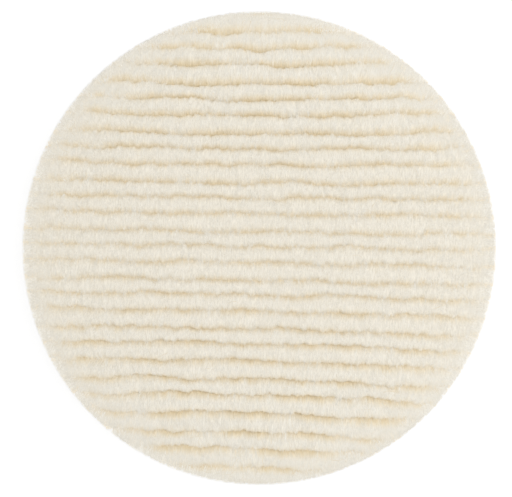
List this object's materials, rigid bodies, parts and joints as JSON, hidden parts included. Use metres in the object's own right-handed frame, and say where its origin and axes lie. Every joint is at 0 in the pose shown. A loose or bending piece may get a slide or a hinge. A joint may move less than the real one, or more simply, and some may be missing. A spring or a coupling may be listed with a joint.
{
  "type": "polishing pad",
  "caption": "Round wool polishing pad: rows of cut wool tufts through a ground cloth on a foam core, with a loop backing for a machine's hook plate.",
  "frame": {"origin": "centre of the loop backing's outer face, which is the underside when the pad lies wool side up", "axes": "+Z out of the wool face, +X along the tuft rows, +Y across them"},
  "size_m": [0.15, 0.1494, 0.0235],
  "materials": {
    "wool": "matte",
    "cloth": "matte",
    "latex": "matte",
    "glue": "satin",
    "foam": "matte",
    "loop": "matte"
  },
  "bodies": {
    "root": {"loop_backing": "loop", "backing_glue": "glue", "foam_core": "foam", "pile_glue": "glue", "latex_coat": "latex", "ground_cloth": "cloth", "tuft_row_01": "wool", "tuft_row_02": "wool", "tuft_row_03": "wool", "tuft_row_04": "wool", "tuft_row_05": "wool", "tuft_row_06": "wool", "tuft_row_07": "wool", "tuft_row_08": "wool", "tuft_row_09": "wool", "tuft_row_10": "wool", "tuft_row_11": "wool", "tuft_row_12": "wool", "tuft_row_13": "wool", "tuft_row_14": "wool", "tuft_row_15": "wool", "tuft_row_16": "wool", "tuft_row_17": "wool", "tuft_row_18": "wool", "tuft_row_19": "wool", "tuft_row_20": "wool", "tuft_row_21": "wool", "tuft_row_22": "wool", "tuft_row_23": "wool", "tuft_row_24": "wool", "tuft_row_25": "wool", "tuft_row_26": "wool", "tuft_row_27": "wool", "tuft_row_28": "wool"}
  },
  "joints": []
}
